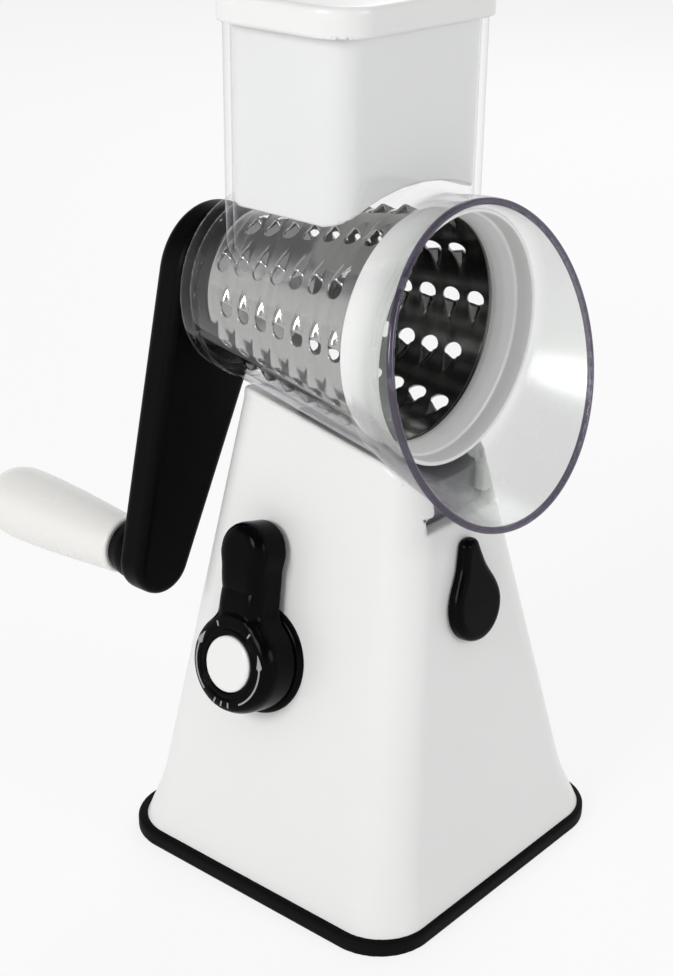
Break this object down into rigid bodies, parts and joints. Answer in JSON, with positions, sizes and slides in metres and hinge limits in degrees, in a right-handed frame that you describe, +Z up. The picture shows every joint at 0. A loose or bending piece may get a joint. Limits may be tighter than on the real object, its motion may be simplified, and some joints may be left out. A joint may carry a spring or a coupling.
{
  "type": "rotary vegetable shredder",
  "caption": "Hand-cranked drum shredder: perforated conical drum in a clear barrel with feed chute and pusher, on a tapering tower with a suction foot, side lever and front latch.",
  "frame": {"origin": "on the table at the middle of the square suction foot", "axes": "+Z up; the drum's axis runs along Y, outlet towards -Y, crank at +Y, suction lever on the -X wall"},
  "size_m": [0.125, 0.2123, 0.286],
  "materials": {
    "white_plastic": "smooth moulded, soft gloss",
    "milky_plastic": "translucent milky moulding, satin",
    "clear_plastic": "clear moulding, polished",
    "black_plastic": "black moulded, glossy",
    "black_satin": "black moulded, satin",
    "black_rubber": "black rubber, matt",
    "ivory_plastic": "warm white moulded, soft gloss",
    "inner_plastic": "grey-white moulded, as it leaves the mould",
    "drum_steel": "bright pressed stainless sheet",
    "steel": "turned steel"
  },
  "bodies": {
    "base": {"base_shell": "white_plastic", "base_floor": "inner_plastic", "floor_screws": "steel", "suction_rim": "black_rubber", "suction_membrane": "black_rubber", "cam_bracket": "inner_plastic", "bracket_screws": "steel", "lever_bezel": "black_plastic", "bezel_nut": "inner_plastic", "hopper_housing": "clear_plastic", "shaft_bush": "white_plastic"},
    "lever": {"suction_lever": "black_plastic", "lever_screw": "steel", "lever_cap": "white_plastic", "cam_shaft": "steel", "suction_cam": "inner_plastic"},
    "stem": {"suction_stem": "inner_plastic"},
    "latch": {"latch_knob": "black_plastic", "latch_spindle": "black_plastic", "latch_nut": "inner_plastic"},
    "bolt": {"latch_bolt": "inner_plastic"},
    "crank": {"drive_shaft": "steel", "crank_arm": "black_satin", "crank_screw": "steel", "crank_cover": "black_satin", "handle_spindle": "steel", "handle_collar": "black_satin", "spindle_nut": "steel"},
    "grip": {"handle_grip": "ivory_plastic", "grip_plug": "ivory_plastic"},
    "drum": {"drum_shell": "drum_steel", "drum_front_ring": "white_plastic", "drum_rear_hub": "white_plastic"},
    "pusher": {"pusher_body": "milky_plastic", "pusher_cap": "milky_plastic"}
  },
  "joints": [
    {"name": "lever_turn", "type": "hinge", "parent": "base", "child": "lever", "pos_m": [-0.03988, 0.0121, 0.0777], "axis": [0.9691, 0, -0.2468], "range_deg": [0, 180]},
    {"name": "stem_lift", "type": "slide", "parent": "base", "child": "stem", "axis": [0, 0, 1], "range_m": [0, 0.004], "deforming": ["suction_membrane"]},
    {"name": "latch_turn", "type": "hinge", "parent": "base", "child": "latch", "pos_m": [0, -0.04248, 0.101], "axis": [0, 0.9875, -0.1574], "range_deg": [0, 90]},
    {"name": "bolt_drop", "type": "slide", "parent": "base", "child": "bolt", "axis": [0, 0, -1], "range_m": [0, 0.0034]},
    {"name": "crank_spin", "type": "hinge", "parent": "base", "child": "crank", "pos_m": [0, 0, 0.1881], "axis": [0, 1, 0], "continuous": true},
    {"name": "grip_spin", "type": "hinge", "parent": "crank", "child": "grip", "pos_m": [-0.0342, 0.115, 0.09413], "axis": [0, 1, 0], "continuous": true},
    {"name": "drum_pull", "type": "slide", "parent": "crank", "child": "drum", "axis": [0, -1, 0], "range_m": [0, 0.11]},
    {"name": "pusher_lift", "type": "slide", "parent": "base", "child": "pusher", "axis": [0, 0, 1], "range_m": [0, 0.09]}
  ],
  "couplings": [
    {"joint": "stem_lift", "follows": "lever_turn", "m_per_rad": 0.0012732},
    {"joint": "bolt_drop", "follows": "latch_turn", "m_per_rad": 0.0021645}
  ]
}
